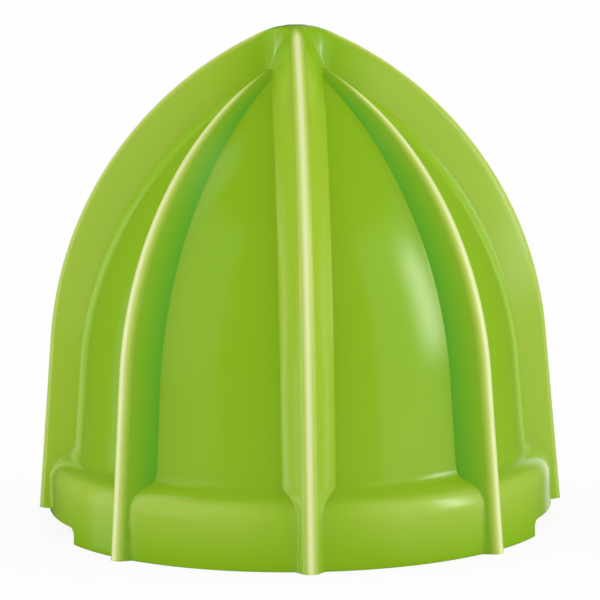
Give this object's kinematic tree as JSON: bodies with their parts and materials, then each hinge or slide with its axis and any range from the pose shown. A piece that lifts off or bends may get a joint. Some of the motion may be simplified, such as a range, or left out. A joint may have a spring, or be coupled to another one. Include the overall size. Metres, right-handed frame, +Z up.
{
  "type": "citrus juicer cone set",
  "caption": "Ribbed reaming cone of an electric citrus juicer, plugged over a smaller cone with a hexagonal drive hub.",
  "frame": {"origin": "on the turning axis, at the level of the rims that the cones stand on", "axes": "+Z up along the turning axis; long ribs point along -Y, +X, +Y and -X, and the picture looks along +Y"},
  "size_m": [0.0776, 0.078, 0.0736],
  "materials": {
    "cone_plastic": "polished lime green",
    "hub_plastic": "moulded natural white",
    "ring_wire": "drawn stainless wire"
  },
  "bodies": {
    "small_cone": {"small_cone": "cone_plastic", "drive_hub": "hub_plastic", "spring_ring": "ring_wire"},
    "large_cone": {"large_cone": "cone_plastic"}
  },
  "joints": [
    {"name": "large_cone_lift", "type": "slide", "parent": "small_cone", "child": "large_cone", "axis": [0, 0, 1], "range_m": [0, 0.065]}
  ]
}
